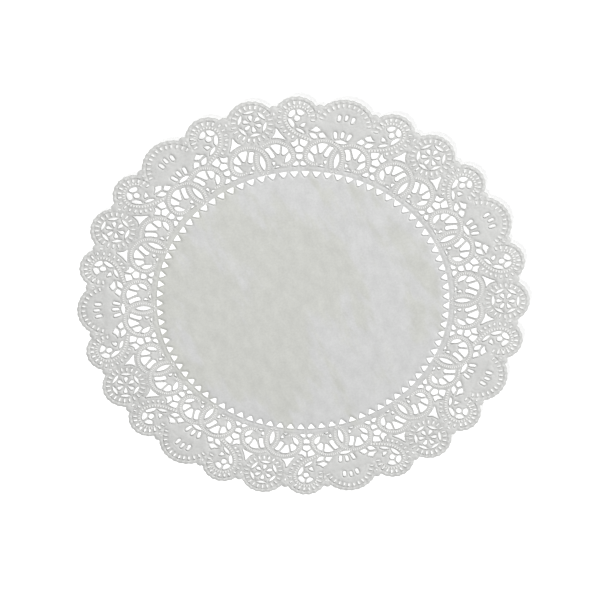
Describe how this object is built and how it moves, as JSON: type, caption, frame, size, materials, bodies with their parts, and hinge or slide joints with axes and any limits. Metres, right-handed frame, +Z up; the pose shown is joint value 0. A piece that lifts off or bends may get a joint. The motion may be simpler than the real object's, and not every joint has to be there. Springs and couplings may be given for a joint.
{
  "type": "lace paper doily",
  "caption": "Round flat doily of embossed lace paper: a plain middle to stand food or a plate on, edged by teeth and a pierced border with a scalloped rim.",
  "frame": {"origin": "middle of the sheet's flat underside, where it rests on the table", "axes": "+Z up, square to the sheet; +X along the axis of one rosette of the border"},
  "size_m": [0.2552, 0.2546, 0.001],
  "materials": {
    "paper": "matt white, embossed"
  },
  "bodies": {
    "root": {"doily": "paper"}
  },
  "joints": []
}
